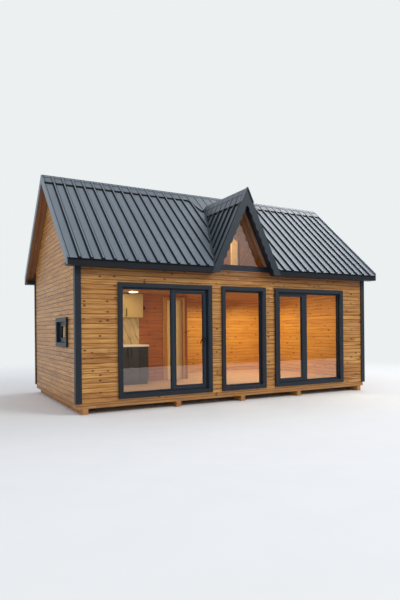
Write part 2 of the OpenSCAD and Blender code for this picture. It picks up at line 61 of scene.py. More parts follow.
# ---------------------------------------------------------------- sizes, metres
COURSE = 0.0886          # face of one siding board
JOINT = 0.0065           # half width of the V between two boards
JOINT_L = 9.0            # joints are cut longer than any wall
FACE_DEPTH = 0.008       # how deep a wall's face takes its own finish
BOARD_L = 3.9            # length of one board
INNER_COURSE = 0.09      # face of one lining board
INNER_JOINT = 0.004
PLANK = 0.14             # face of one floor board
FRONT_T = 0.018          # thickness of a kitchen front

LOW_WALL, HIGH_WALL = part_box("back_wall")
SIDE_X = HIGH_WALL.x
BACK_Y = HIGH_WALL.y
WALL_T = HIGH_WALL.y - LOW_WALL.y
IN_X = SIDE_X - WALL_T
IN_Y = BACK_Y - WALL_T
WALL_Z0 = LOW_WALL.z
WELD = 0.00002           # vertices closer than this are one

LOW_DECK, HIGH_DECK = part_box("roof_deck_front")
DECK_X = HIGH_DECK.x
EAVE_Y = -LOW_DECK.y     # half the depth over the roof decks
RIDGE_Z = HIGH_DECK.z
DORMER_Z = RIDGE_Z - 0.393   # the dormer's ridge
DORMER_RISE = 2.1        # rise of the dormer's roof over its run
PITCH = math.radians(42)
DORMER_PITCH = math.atan(DORMER_RISE)
SHEET_L = 2.170 / math.cos(PITCH)   # from the ridge to the eave, along the slope
RIB_PITCH = 0.21
RIB_BASE, RIB_TOP, RIB_H = 0.062, 0.026, 0.03   # widths at foot and head; height
SHEET_T = 0.004
CAP_LOW = 0.026          # underside of a ridge cap between two ribs, over the deck
CAP_LEG = 0.25           # from the ridge to the cap's lower edge, along the slope


# ---------------------------------------------------------------- node helpers
def add(tree, kind, inputs=None, **settings):
    """Adds one node. An input's value is a plain value, or a node or socket to link; the
    setting stops holds a colour ramp's (place, hex) pairs."""
    node = tree.nodes.new(kind)
    for name, value in settings.items():
        if name == "stops":
            while len(node.color_ramp.elements) < len(value):
                node.color_ramp.elements.new(0.5)
            for element, (place, code) in zip(node.color_ramp.elements, value):
                element.position = place
                element.color = colour(code)
        else:
            setattr(node, name, value)
    for key, value in (inputs or {}).items():
        if isinstance(value, bpy.types.Node):
            value = value.outputs[0]
        if isinstance(value, bpy.types.NodeSocket):
            tree.links.new(value, node.inputs[key])
        else:
            node.inputs[key].default_value = value
    return node


def colour(code):
    """Linear RGBA of an sRGB hex value."""
    parts = [int(code[i:i + 2], 16) / 255 for i in (1, 3, 5)]
    return [c / 12.92 if c <= 0.04045 else ((c + 0.055) / 1.055) ** 2.4 for c in parts] + [1]


def new_material(name):
    """A new material's tree, its object coordinates and its output node."""
    mat = bpy.data.materials.new(name)
    mat.use_nodes = True
    tree = mat.node_tree
    tree.nodes.clear()
    at = add(tree, "ShaderNodeTexCoord").outputs["Object"]
    return tree, at, tree.nodes.new("ShaderNodeOutputMaterial")


def surface(name, tint, gloss, varied, relief, depth, extra=None):
    """Closes a material's tree: its roughness runs between the two gloss values with one
    texture, and its bump, of this depth, follows another."""
    tree = bpy.data.materials[name].node_tree
    rough = add(tree, "ShaderNodeMapRange",
                {"Value": varied.outputs[0], "To Min": gloss[0], "To Max": gloss[1]})
    bump = add(tree, "ShaderNodeBump",
               {"Height": relief.outputs[0], "Distance": depth, "Strength": 1.0})
    inputs = {"Base Color": tint, "Roughness": rough, "IOR": 1.5, "Normal": bump}
    inputs.update(extra or {})
    shader = add(tree, "ShaderNodeBsdfPrincipled", inputs)
    tree.links.new(shader.outputs[0], tree.nodes["Material Output"].inputs["Surface"])
    return bpy.data.materials[name]


# ---------------------------------------------------------------- finishes
def board_places(tree, height, u, course, start):
    """Which board a point is on: its height counted in faces from the first board, its place in
    board lengths along a row, each row shifted by chance, and a number that only this board has."""
    rows = add(tree, "ShaderNodeMapRange",
               {"Value": height, "From Min": start, "From Max": start + course}, clamp=False)
    row = add(tree, "ShaderNodeMath", {0: rows}, operation="FLOOR")
    chance = add(tree, "ShaderNodeTexWhiteNoise", {"W": row}, noise_dimensions="1D")
    along_row = add(tree, "ShaderNodeMath", {0: u, 1: BOARD_L}, operation="DIVIDE")
    length = add(tree, "ShaderNodeMath", {0: chance.outputs["Value"], 1: 1.8, 2: along_row},
                 operation="MULTIPLY_ADD")
    piece = add(tree, "ShaderNodeMath", {0: length}, operation="FLOOR")
    seed = add(tree, "ShaderNodeMath", {0: piece, 1: 17.31, 2: row}, operation="MULTIPLY_ADD")
    return rows, length, seed


def knot_spots(tree, at, u, rows, share):
    """How deep a point lies in a knot: dark spots with ragged rims, on the siding about 35 to
    55 mm long and a third less high. There is one place for a knot in every 0.14 m of a board,
    and this share of the places has one."""
    spots = add(tree, "ShaderNodeCombineXYZ", {0: u, 1: rows})
    spots = add(tree, "ShaderNodeMapping", {"Vector": spots, "Scale": (7.0, 1.0, 1.0)})
    knot = add(tree, "ShaderNodeTexVoronoi",
               {"Vector": spots, "Scale": 1.0, "Randomness": 0.85}, voronoi_dimensions="2D")
    wobble = add(tree, "ShaderNodeTexNoise", {"Vector": at, "Scale": 55.0, "Detail": 2.0})
    pick = add(tree, "ShaderNodeSeparateColor", {0: knot.outputs["Color"]})
    chosen = add(tree, "ShaderNodeMath", {0: pick.outputs[0], 1: share}, operation="LESS_THAN")
    size = add(tree, "ShaderNodeMapRange",
               {"Value": pick.outputs[1], "To Min": 0.10, "To Max": 0.25})
    ragged = add(tree, "ShaderNodeMath",
                 {0: wobble.outputs[0], 1: -0.16, 2: knot.outputs["Distance"]},
                 operation="MULTIPLY_ADD")
    return add(tree, "ShaderNodeMapRange",
               {"Value": ragged, "From Min": size, "From Max": -0.03, "To Min": 0.0,
                "To Max": chosen}, interpolation_type="SMOOTHSTEP")


def dark_joints(tree, rows, length, course, dirt_and_shade):
    """Dirt and shade of the joints: 8 mm to each side of a V, and 3 mm at a board's end."""
    edge = add(tree, "ShaderNodeMath", {0: rows, 1: 0.5}, operation="PINGPONG")
    seam = add(tree, "ShaderNodeMapRange",
               {"Value": edge, "From Min": 0.0, "From Max": 0.0085 / course, "To Min": dirt_and_shade,
                "To Max": 0.0}, interpolation_type="SMOOTHSTEP")
    end = add(tree, "ShaderNodeMath", {0: length, 1: 0.5}, operation="PINGPONG")
    butt = add(tree, "ShaderNodeMapRange",
               {"Value": end, "From Min": 0.0, "From Max": 0.0008, "To Min": 0.6, "To Max": 0.0})
    return add(tree, "ShaderNodeMath", {0: seam, 1: butt}, operation="MAXIMUM")


def painted_eave_shadow(tree, axes, skin, eaves):
    """Painted shadow under the eaves, outside: the top boards of the siding are made darker and
    warmer where the eaves' shade falls. eaves is (height it starts at, full height, least distance
    from the middle)."""
    under = add(tree, "ShaderNodeMapRange",
                {"Value": axes[2], "From Min": eaves[0], "From Max": eaves[1], "To Min": 0.0,
                 "To Max": 0.62})
    depth = add(tree, "ShaderNodeMath", {0: axes[1]}, operation="ABSOLUTE")
    outer = add(tree, "ShaderNodeMath", {0: depth, 1: eaves[2]}, operation="GREATER_THAN")
    under = add(tree, "ShaderNodeMath", {0: under, 1: outer}, operation="MULTIPLY")
    # 5c2707 is the colour of the painted shadow under the eaves
    return add(tree, "ShaderNodeMix",
               {"Factor": under, 6: skin.outputs[2], 7: colour("#5c2707")}, data_type="RGBA")


def stained_boards(name, tones, across, along, course, start, knots=0.2, dirt_and_shade=0.7,
                   gloss=(0.5, 0.72), spread=0.16, eaves=None):
    """Planed pine boards with a thin stain: each board has its own tone, long grain and a few dark
    round knots, and the V between two boards stays darker, with stain and dust gathered there and
    painted shade in it.
    tones holds the dark, middle and light wood and the knots; across is the axis that counts
    the boards, from start, and along holds the one or two axes that they run along."""
    tree, at, _ = new_material(name)
    axes = add(tree, "ShaderNodeSeparateXYZ", {0: at}).outputs
    u = axes[along[0]]
    if len(along) > 1:
        u = add(tree, "ShaderNodeMath", {0: u, 1: axes[along[1]]})
    rows, length, seed = board_places(tree, axes[across], u, course, start)
    own = add(tree, "ShaderNodeTexWhiteNoise", {"W": seed}, noise_dimensions="1D")
    # Growth rings cut lengthwise: broad streaks 30 mm apart, down to half a millimetre
    place = add(tree, "ShaderNodeCombineXYZ", {0: u, 1: axes[across], 2: seed})
    place = add(tree, "ShaderNodeMapping", {"Vector": place, "Scale": (1.7, 34.0, 3.7)})
    grain = add(tree, "ShaderNodeTexNoise",
                {"Vector": place, "Scale": 1.0, "Detail": 6.0, "Roughness": 0.66,
                 "Distortion": 0.5})
    tone = add(tree, "ShaderNodeMapRange",
               {"Value": own.outputs["Value"], "To Min": -0.09 - spread / 2,
                "To Max": -0.09 + spread / 2})
    mix = add(tree, "ShaderNodeMath", {0: grain.outputs[0], 1: 1.2, 2: tone},
              operation="MULTIPLY_ADD")
    base = add(tree, "ShaderNodeValToRGB", {0: mix},
               stops=[(0.25, tones[0]), (0.5, tones[1]), (0.78, tones[2])])
    skin = add(tree, "ShaderNodeMix",
               {"Factor": knot_spots(tree, at, u, rows, knots), 6: base, 7: colour(tones[3])},
               data_type="RGBA")
    # Painted shadow under the eaves
    if eaves:
        skin = painted_eave_shadow(tree, axes, skin, eaves)
    joint_dirt_and_shade = dark_joints(tree, rows, length, course, dirt_and_shade)
    skin = add(tree, "ShaderNodeMix", {"Factor": joint_dirt_and_shade, 6: skin.outputs[2], 7: colour(tones[3])},
               data_type="RGBA")
    return surface(name, skin.outputs[2], gloss, grain, grain, 0.0006)


def painted_wood(name, low, high, shine=0.45):
    """Sawn softwood under opaque paint: satin, with the raised grain just showing."""
    tree, at, _ = new_material(name)
    fine = add(tree, "ShaderNodeTexNoise",
               {"Vector": at, "Scale": 180.0, "Detail": 4.0, "Roughness": 0.6})
    broad = add(tree, "ShaderNodeTexNoise", {"Vector": at, "Scale": 3.0, "Detail": 3.0})
    mix = add(tree, "ShaderNodeMix", {"Factor": 0.65, 2: fine.outputs[0], 3: broad.outputs[0]})
    tint = add(tree, "ShaderNodeValToRGB", {0: mix}, stops=[(0.3, low), (0.7, high)])
    return surface(name, tint, (0.42, 0.58), fine, fine, 0.0004, {"Specular IOR Level": shine})


def painted_rib_shade(tree, at, ribs, first, reach):
    """Painted shade on ribbed sheet, with a duller gloss: the folded sides of the ribs, which face
    along axis ribs, and the pan within reach of their feet, where their shadow falls; first is the
    place of one rib."""
    facing = add(tree, "ShaderNodeSeparateXYZ",
                 {0: add(tree, "ShaderNodeNewGeometry").outputs["True Normal"]})
    side = add(tree, "ShaderNodeMath", {0: facing.outputs[ribs]}, operation="ABSOLUTE")
    steep = add(tree, "ShaderNodeMapRange", {"Value": side, "From Min": 0.25, "From Max": 0.6})
    axes = add(tree, "ShaderNodeSeparateXYZ", {0: at}).outputs
    away = add(tree, "ShaderNodeMath", {0: axes[ribs], 1: first}, operation="SUBTRACT")
    away = add(tree, "ShaderNodeMath", {0: away, 1: RIB_PITCH / 2}, operation="PINGPONG")
    foot = add(tree, "ShaderNodeMapRange",
               {"Value": away, "From Min": RIB_BASE / 2 + 0.004, "From Max": RIB_BASE / 2 + reach,
                "To Min": 0.9, "To Max": 0.0}, interpolation_type="SMOOTHSTEP")
    beyond = add(tree, "ShaderNodeMath", {0: away, 1: RIB_BASE / 2 - 0.004},
                 operation="GREATER_THAN")
    foot = add(tree, "ShaderNodeMath", {0: foot, 1: beyond}, operation="MULTIPLY")
    return add(tree, "ShaderNodeMath", {0: steep, 1: foot}, operation="MAXIMUM")


def coated_steel(name, low, high, flank_shade=None, ribs=0, first=0.0, reach=0.018):
    """Roll-formed steel with a matt polyester coat: grey-blue pans with faint oil-canning, and,
    where a colour for their shade is given, painted shade on the sides and feet of the ribs, far
    darker and duller than the pans."""
    tree, at, _ = new_material(name)
    grit = add(tree, "ShaderNodeTexNoise", {"Vector": at, "Scale": 700.0, "Detail": 2.0})
    waves = add(tree, "ShaderNodeTexNoise",
                {"Vector": at, "Scale": 1.7, "Detail": 2.0, "Roughness": 0.5})
    mix = add(tree, "ShaderNodeMix", {"Factor": 0.7, 2: grit.outputs[0], 3: waves.outputs[0]})
    tint = add(tree, "ShaderNodeValToRGB", {0: mix}, stops=[(0.3, low), (0.7, high)]).outputs[0]
    shine = 0.5
    if flank_shade:
        rib_shade = painted_rib_shade(tree, at, ribs, first, reach)
        tint = add(tree, "ShaderNodeMix", {"Factor": rib_shade, 6: tint, 7: colour(flank_shade)},
                   data_type="RGBA").outputs[2]
        shine = add(tree, "ShaderNodeMapRange", {"Value": rib_shade, "To Min": 0.5, "To Max": 0.12})
    return surface(name, tint, (0.34, 0.46), waves, grit, 0.0002, {"Specular IOR Level": shine})


def plain_stuff(name, low, high, grit, rough_low, rough_high, depth=0.0002, extra=None):
    """A moulded or lacquered surface: two close tones, fine grit and a varied gloss."""
    tree, at, _ = new_material(name)
    noise = add(tree, "ShaderNodeTexNoise", {"Vector": at, "Scale": grit, "Detail": 3.0})
    tint = add(tree, "ShaderNodeValToRGB", {0: noise}, stops=[(0.35, low), (0.65, high)])
    return surface(name, tint, (rough_low, rough_high), noise, noise, depth, extra)


def veined_stone(name):
    """Polished cream marble: cloudy ground with a few thin brown veins running aslant."""
    tree, at, _ = new_material(name)
    cloud = add(tree, "ShaderNodeTexNoise", {"Vector": at, "Scale": 4.0, "Detail": 5.0})
    ground = add(tree, "ShaderNodeValToRGB", {0: cloud}, stops=[(0.3, "#bfa982"), (0.7, "#dccaa6")])
    bent = add(tree, "ShaderNodeMapping",
               {"Vector": at, "Rotation": (0.0, math.radians(-42), 0.0), "Scale": (1.0, 1.0, 0.4)})
    vein = add(tree, "ShaderNodeTexWave",
               {"Vector": bent, "Scale": 2.6, "Distortion": 5.0, "Detail": 3.0,
                "Detail Scale": 1.4}, bands_direction="Z")
    line = add(tree, "ShaderNodeMapRange",
               {"Value": vein.outputs["Fac"], "From Min": 0.0, "From Max": 0.035, "To Min": 0.75,
                "To Max": 0.0})
    skin = add(tree, "ShaderNodeMix",
               {"Factor": line, 6: ground, 7: colour("#4c3521")}, data_type="RGBA")
    return surface(name, skin.outputs[2], (0.14, 0.28), cloud, cloud, 0.0001)


def window_pane(name, share):
    """Insulating glass: clear, so the room shows, with the mirror of the ground and sky on it,
    which is share times as strong as bare glass gives in the panes that face forwards."""
    tree, at, out = new_material(name)
    ripple = add(tree, "ShaderNodeTexNoise", {"Vector": at, "Scale": 1.3, "Detail": 1.0})
    tint = add(tree, "ShaderNodeValToRGB", {0: ripple}, stops=[(0.2, "#f3f8f6"), (0.8, "#fbfdfc")])
    clear = add(tree, "ShaderNodeBsdfTransparent", {"Color": tint})
    gloss = add(tree, "ShaderNodeBsdfAnisotropic", {"Color": colour("#fff1eb"), "Roughness": 0.0})
    angle = add(tree, "ShaderNodeFresnel", {"IOR": 1.5})
    front = add(tree, "ShaderNodeMath",
                {0: 1.0, 1: add(tree, "ShaderNodeNewGeometry").outputs["Backfacing"]},
                operation="SUBTRACT")
    # Panes in the gable are seen so flat that a full mirror would hide the room
    facing = add(tree, "ShaderNodeSeparateXYZ",
                 {0: add(tree, "ShaderNodeNewGeometry").outputs["True Normal"]})
    aside = add(tree, "ShaderNodeMath", {0: facing.outputs["X"]}, operation="ABSOLUTE")
    part = add(tree, "ShaderNodeMapRange", {"Value": aside, "To Min": share, "To Max": 0.4})
    front = add(tree, "ShaderNodeMath", {0: part, 1: front}, operation="MULTIPLY")
    amount = add(tree, "ShaderNodeMath", {0: angle, 1: front}, operation="MULTIPLY")
    both = add(tree, "ShaderNodeMixShader", {0: amount, 1: clear, 2: gloss})
    tree.links.new(both.outputs[0], out.inputs["Surface"])
    return bpy.data.materials[name]


PINE = ["#7d4819", "#b57c3a", "#dba65b", "#4a2006"]
AMBER = ["#a8702d", "#cb923b", "#dba74a", "#5f3414"]

# The siding carries painted shadow under the eaves, on the front and back outer faces: it starts at
# 2.42 m and is full at 2.62 m
SIDING = stained_boards("stained_pine_siding", PINE, 2, (0, 1), COURSE, WALL_Z0, 0.17, 0.8,
                        (0.34, 0.54), 0.16, (2.42, 2.62, BACK_Y - 0.02))
LINING = stained_boards("oiled_pine_lining", AMBER, 2, (0, 1), INNER_COURSE, WALL_Z0, 0.12, 0.6)
PARTITION = stained_boards("red_pine_partition", ["#8f4c28", "#ad6130", "#be743a", "#5a2a12"], 2,
                           (0, 1), INNER_COURSE, WALL_Z0, 0.12, 0.6)
LOFT_PINE = stained_boards("pale_pine_panel", ["#b8955c", "#c8a86c", "#d4b67e", "#6f4822"],
                           2, (0,), 0.22, 0.1, 0.1, 0.3)
LOFT_BOARDS = stained_boards("loft_roof_boards", ["#8f5c2a", "#b0763a", "#c68c4c", "#4a2a12"],
                             0, (1,), 0.11, 0.0, 0.14)
DORMER_BOARDS = stained_boards("dormer_lining_boards", ["#a8795a", "#bd8e6e", "#cba082",
                                                       "#5a3420"], 1, (2,), 0.11, 0.0, 0.14)
FLOORING = stained_boards("lacquered_floor_boards", ["#a67c55", "#ba936b", "#c7a37c", "#6b4a30"],
                          1, (0,), PLANK, -IN_Y, 0.1, 0.5)
CEILING = stained_boards("stained_ceiling_boards", ["#a5744a", "#ba8858", "#c89a6a", "#5a3018"],
                         1, (0,), PLANK, -IN_Y, 0.12, 0.6)
# The dark line at 0.157 m on the rim has no groove: it is joint dirt and the painted shadow of the
# gap between two boards
SKIDS = stained_boards("sawn_pine_skids", ["#93602f", "#b07c44", "#c49559", "#4a2c14"],
                       2, (0, 1), 0.5, 0.157, 0.1, 0.85)
TRIM = painted_wood("anthracite_painted_trim", "#0e1a25", "#141f2b")
FASCIA = painted_wood("dark_painted_fascia", "#0c141c", "#121a23", 0.25)
DORMER_TRIM = painted_wood("slate_painted_barge", "#1a2530", "#222e39")
# A slate lighter than the trim, for painted light on shaded returns and edges
REVEAL_PAINTED_LIGHT = painted_wood("slate_painted_reveal", "#2c3844", "#364350")
UMBER = painted_wood("umber_stained_strip", "#2a190d", "#3a2415")
BROWN_FRAME = painted_wood("brown_stained_frame", "#875f44", "#976e50")
FRAME = plain_stuff("anthracite_window_profile", "#1c2731", "#242f3a", 900.0, 0.36, 0.46,
                    0.0001, {"Specular IOR Level": 0.3})
# 131b23 and #252d35 are the painted shade on the ribs' sides and feet
ROOF = coated_steel("matt_coated_roof_steel", "#626e79", "#6d7984", "#131b23", 0,
                    RIB_PITCH / 2)
# The dormer's sheets: the roof's steel in darker tones as painted shade, with the painted shade at
# the ribs' feet reaching 40 mm
DORMER_ROOF_SHADED = coated_steel("matt_coated_dormer_steel", "#4d5862", "#58636d", "#131b23", 1,
                           RIB_BASE - EAVE_Y, 0.04)
CAP = coated_steel("matt_coated_ridge_steel", "#57626c", "#626d77", "#252d35", 0,
                   RIB_PITCH / 2)
DORMER_CAP = coated_steel("matt_coated_dormer_cap_steel", "#57626c", "#626d77", "#252d35", 1,
                          RIB_BASE - EAVE_Y)
FLASHING = coated_steel("matt_coated_valley_steel", "#303b46", "#3a4551")
SOFFIT = stained_boards("brown_stained_soffit", ["#6b4226", "#8a5a34", "#9d6c42", "#2b170c"],
                        0, (1,), 0.12, 0.0, 0.14, 0.8)
BARGE = coated_steel("matt_coated_edge_steel", "#64727f", "#6f7d8a")
GLASS = window_pane("insulating_glass", 3.2)
CREAM = plain_stuff("cream_lacquered_board", "#e9dcbc", "#f1e7cc", 260.0, 0.3, 0.45)
STRAW = plain_stuff("straw_lacquered_panel", "#f0cf8a", "#f8dba0", 260.0, 0.3, 0.45)
CABINET = plain_stuff("tan_lacquered_front", "#a88c5a", "#b99e6e", 260.0, 0.3, 0.45)
GREY = plain_stuff("dark_grey_lacquered_board", "#343632", "#3d3f3b", 260.0, 0.35, 0.5)
DARK_GREY = plain_stuff("charcoal_lacquered_board", "#25231f", "#2b2a26", 260.0, 0.35, 0.5)
WHITE = plain_stuff("white_laminate_top", "#eceae4", "#f6f4ef", 90.0, 0.25, 0.35)
STONE = veined_stone("cream_marble_tile")
BRONZE = plain_stuff("dark_bronze_handle", "#2b2622", "#3a332d", 500.0, 0.25, 0.4, 0.0001,
                     {"Metallic": 0.9})
RUBBER = plain_stuff("black_seal_rubber", "#0a0b0d", "#131517", 800.0, 0.55, 0.7, 0.0002,
                     {"Specular IOR Level": 0.1})
DARK_POST = stained_boards("dark_stained_post", ["#7d3b1d", "#96512b", "#a8643a", "#4e2412"],
                           0, (2,), 0.3, 0.0, 0.1, 0.0)
ARCHITRAVE = stained_boards("planed_pine_architrave", ["#a5682c", "#c4883c", "#d29a4c",
                                                      "#5f3414"], 0, (2,), 0.3, 0.05, 0.1, 0.0)
LAMP = plain_stuff("opal_lamp_cover", "#fff3df", "#fffaf0", 200.0, 0.4, 0.5, 0.0001,
                   {"Emission Color": colour("#ffe9c8"), "Emission Strength": 1.7})


# ---------------------------------------------------------------- objects
def placed(name, data):
    """A new object in the scene, for a mesh, a lamp or a camera."""
    obj = bpy.data.objects.new(name, data)
    bpy.context.scene.collection.objects.link(obj)
    return obj


def object_of(name, mesh, *mats):
    """A new object from a bmesh, which is freed, with these materials."""
    data = bpy.data.meshes.new(name)
    mesh.to_mesh(data)
    mesh.free()
    for mat in mats:
        data.materials.append(mat)
    return placed(name, data)


# ---------------------------------------------------------------- walls
def solid_copy(name, node, *mats):
    """A copy of a CAD node with its coplanar triangles merged into whole faces."""
    mesh = bmesh.new()
    mesh.from_mesh(NODES[node].data)
    bmesh.ops.remove_doubles(mesh, verts=mesh.verts, dist=WELD)
    bmesh.ops.dissolve_limit(mesh, angle_limit=math.radians(0.5), verts=mesh.verts,
                             edges=mesh.edges)
    return object_of(name, mesh, *mats)


def group(name, sockets):
    """A geometry tree with the given named inputs; returns it with its in and out nodes."""
    tree = bpy.data.node_groups.new(name, "GeometryNodeTree")
    for label, kind in [("Geometry", "Geometry")] + sockets:
        tree.interface.new_socket(label, in_out="INPUT", socket_type="NodeSocket" + kind)
    tree.interface.new_socket("Geometry", in_out="OUTPUT", socket_type="NodeSocketGeometry")
    return tree, tree.nodes.new("NodeGroupInput").outputs, tree.nodes.new("NodeGroupOutput")


def board_joint_tree():
    """Cuts a row of V joints into a solid's face, and gives that face its finish."""
    tree, g, out = group("board_joints", [
        ("Start", "Vector"), ("Step", "Vector"), ("Count", "Int"), ("Half width", "Float"),
        ("Length", "Float"), ("Turn", "Rotation"), ("Facing", "Vector"), ("Finish", "Material")])
    line = add(tree, "GeometryNodeMeshLine",
               {"Count": g["Count"], "Start Location": g["Start"], "Offset": g["Step"]})
    bar = add(tree, "GeometryNodeMeshCylinder",
              {"Vertices": 4, "Radius": g["Half width"], "Depth": g["Length"]})
    bars = add(tree, "GeometryNodeInstanceOnPoints",
               {"Points": line, "Instance": bar.outputs["Mesh"], "Rotation": g["Turn"]})
    real = add(tree, "GeometryNodeRealizeInstances", {0: bars})
    cut = add(tree, "GeometryNodeMeshBoolean",
              {"Mesh 1": g["Geometry"], "Mesh 2": real}, operation="DIFFERENCE", solver="EXACT")
    away = add(tree, "ShaderNodeVectorMath",
               {0: add(tree, "GeometryNodeInputPosition"), 1: g["Start"]}, operation="SUBTRACT")
    level = add(tree, "ShaderNodeVectorMath", {0: away, 1: g["Facing"]}, operation="DOT_PRODUCT")
    near = add(tree, "FunctionNodeCompare", {0: level.outputs["Value"], 1: -FACE_DEPTH},
               data_type="FLOAT", operation="GREATER_THAN")
    done = add(tree, "GeometryNodeSetMaterial",
               {"Geometry": cut, "Selection": near, "Material": g["Finish"]})
    tree.links.new(done.outputs[0], out.inputs[0])
    return tree


def set_inputs(modifier, values):
    """Sets a geometry tree's inputs by the identifiers of their sockets."""
    for item in modifier.node_group.interface.items_tree:
        if item.item_type == "SOCKET" and item.in_out == "INPUT" and item.name in values:
            modifier[item.identifier] = values[item.name]


def evaluated(obj):
    """Makes the modifiers' result the object's own plain mesh, and drops the modifiers."""
    bpy.context.view_layer.update()
    seen = obj.evaluated_get(bpy.context.evaluated_depsgraph_get())
    mesh = bpy.data.meshes.new_from_object(seen)
    obj.modifiers.clear()
    obj.data = mesh
    return obj


JOINTS = board_joint_tree()
ALONG_X = (0.0, math.pi / 2, 0.0)
ALONG_Y = (math.pi / 2, 0.0, 0.0)


def cut_joints(obj, start, step, count, half, turn, facing, finish):
    """Adds the joint tree to an object: count joints from start, step apart."""
    modifier = obj.modifiers.new("joints", "NODES")
    modifier.node_group = JOINTS
    set_inputs(modifier, {"Start": start, "Step": step, "Count": count, "Half width": half,
                          "Length": JOINT_L, "Turn": turn, "Facing": facing, "Finish": finish})


def wall(name, node, outer, turn, facing):
    """A wall of boards: siding joints outside, finer lining joints inside."""
    obj = solid_copy(name, node, SIDING)
    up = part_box(node)[1].z - WALL_Z0
    inner = outer - Vector(facing) * WALL_T
    cut_joints(obj, outer, (0, 0, COURSE), int(up / COURSE) + 1, JOINT, turn, facing, SIDING)
    cut_joints(obj, inner, (0, 0, INNER_COURSE), int(up / INNER_COURSE) + 1, INNER_JOINT, turn,
               tuple(-c for c in facing), LINING)
    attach(evaluated(obj), "house")
    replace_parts(obj, node)


def walls():
    """The five parts of the front wall, the back wall and both gables."""
    front = Vector((0, -BACK_Y, WALL_Z0))
    for part in ("left", "piers", "right", "header", "sill"):
        wall("front_wall_" + part + "_boards", "front_wall_" + part, front, ALONG_X, (0, -1, 0))
    wall("back_wall_boards", "back_wall", Vector((0, BACK_Y, WALL_Z0)), ALONG_X, (0, 1, 0))
    for side, way in (("left", -1), ("right", 1)):
        wall(side + "_gable_boards", side + "_gable_wall", Vector((way * SIDE_X, 0, WALL_Z0)),
             ALONG_Y, (way, 0, 0))


def lined_deck(node, outside, inside):
    """A roof deck whose underside, between the walls, is the loft's own boarding."""
    obj = solid_copy(node + "_boards", node, outside, inside)
    mesh = bmesh.new()
    mesh.from_mesh(obj.data)
    for axis, place in ((0, IN_X), (0, -IN_X), (1, IN_Y), (1, -IN_Y)):
        normal = Vector((0, 0, 0))
        normal[axis] = 1.0
        bmesh.ops.bisect_plane(mesh, geom=list(mesh.verts) + list(mesh.edges) + list(mesh.faces),
                               plane_co=normal * place, plane_no=normal)
    for face in mesh.faces:
        middle = face.calc_center_median()
        within = abs(middle.x) < IN_X and abs(middle.y) < IN_Y
        face.material_index = 1 if within and face.normal.z < -0.1 else 0
    mesh.to_mesh(obj.data)
    mesh.free()
    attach(obj, "house")
    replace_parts(obj, node)


def decks():
    """Both slopes of the main roof, and the dormer's roof."""
    lined_deck("roof_deck_front", SOFFIT, LOFT_BOARDS)
    lined_deck("roof_deck_back", SOFFIT, LOFT_BOARDS)
    lined_deck("dormer_deck", TRIM, DORMER_BOARDS)


def finish_nodes():
    """Materials of the CAD nodes that stay as they are."""
    finishes = {
        "skids": SKIDS, "rim_long": SKIDS, "rim_ends": SKIDS, "floor_deck": FLOORING,
        "corner_trims": TRIM, "partition_wall": PARTITION, "inner_posts": DARK_POST,
        "doorway_trim": ARCHITRAVE, "doorway_panel": STRAW, "loft_floor": CEILING,
        "roof_sheet_front": ROOF, "roof_sheet_back": ROOF, "ridge_cap": CAP, "fascias": FASCIA,
        "gable_barges": BARGE, "dormer_sheets": DORMER_ROOF_SHADED, "dormer_ridge_cap": DORMER_CAP,
        "eave_soffits": TRIM, "loft_panel": LOFT_PINE, "dormer_barges": DORMER_TRIM,
        "valley_flashings": FLASHING, "dormer_sill": TRIM, "dormer_frame": BROWN_FRAME,
        "dormer_glass": GLASS, "window_casings": TRIM, "entry_frame": FRAME,
        "window_frames": FRAME, "window_glass": GLASS, "entry_door": FRAME,
        "entry_door_glass": GLASS, "entry_door_handle": BRONZE, "base_cabinet": DARK_GREY,
        "worktop": WHITE, "splashback": STONE, "wall_cabinet": CABINET}
    for node, mat in finishes.items():
        slots = NODES[node].data.materials
        if len(slots) == 0:
            slots.append(mat)
        for i in range(len(slots)):
            slots[i] = mat


# ---------------------------------------------------------------- small joinery
def finished(name, mesh, mat, body="house"):
    """Turns a bmesh into a piece of the house, or of the door leaf."""
    bmesh.ops.recalc_face_normals(mesh, faces=mesh.faces)
    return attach(object_of(name, mesh, mat), body)


def board(mesh, low, high, ease=0.002):
    """A sawn board or panel between two corners, with its edges eased."""
    size = Vector(high) - Vector(low)
    made = bmesh.ops.create_cube(mesh, size=1.0)["verts"]
    for vert in made:
        vert.co = Vector(low) + Vector([(vert.co[i] + 0.5) * size[i] for i in range(3)])
    edges = list({edge for vert in made for edge in vert.link_edges})
    bmesh.ops.bevel(mesh, geom=edges, offset=ease, segments=2, affect="EDGES", profile=0.5)


def ring(mesh, low, high, place, section):
    """A mitred strip round a rectangle; section lists (distance inwards, height outwards)."""
    loops = []
    for gap, out in section:
        a0, b0, a1, b1 = low[0] + gap, low[1] + gap, high[0] - gap, high[1] - gap
        loops.append([mesh.verts.new(place(a, b, out))
                      for a, b in ((a0, b0), (a1, b0), (a1, b1), (a0, b1))])
    for near, far in zip(loops, loops[1:] + loops[:1]):
        for i in range(4):
            j = (i + 1) % 4
            mesh.faces.new([near[i], near[j], far[j], far[i]])


def shells(node):
    """(low, high) corners of each separate solid in a CAD node."""
    mesh = bmesh.new()
    mesh.from_mesh(NODES[node].data)
    bmesh.ops.remove_doubles(mesh, verts=mesh.verts, dist=WELD)
    left = set(mesh.verts)
    found = []
    while left:
        queue = [left.pop()]
        members = list(queue)
        while queue:
            for edge in queue.pop().link_edges:
                for vert in edge.verts:
                    if vert in left:
                        left.remove(vert)
                        members.append(vert)
                        queue.append(vert)
        found.append((Vector([min(v.co[i] for v in members) for i in range(3)]),
                      Vector([max(v.co[i] for v in members) for i in range(3)])))
    mesh.free()
    return found


def in_gable(pair):
    """True for the gable window's solids, which are thin along X, given their corners."""
    return pair[1].x - pair[0].x < 0.1


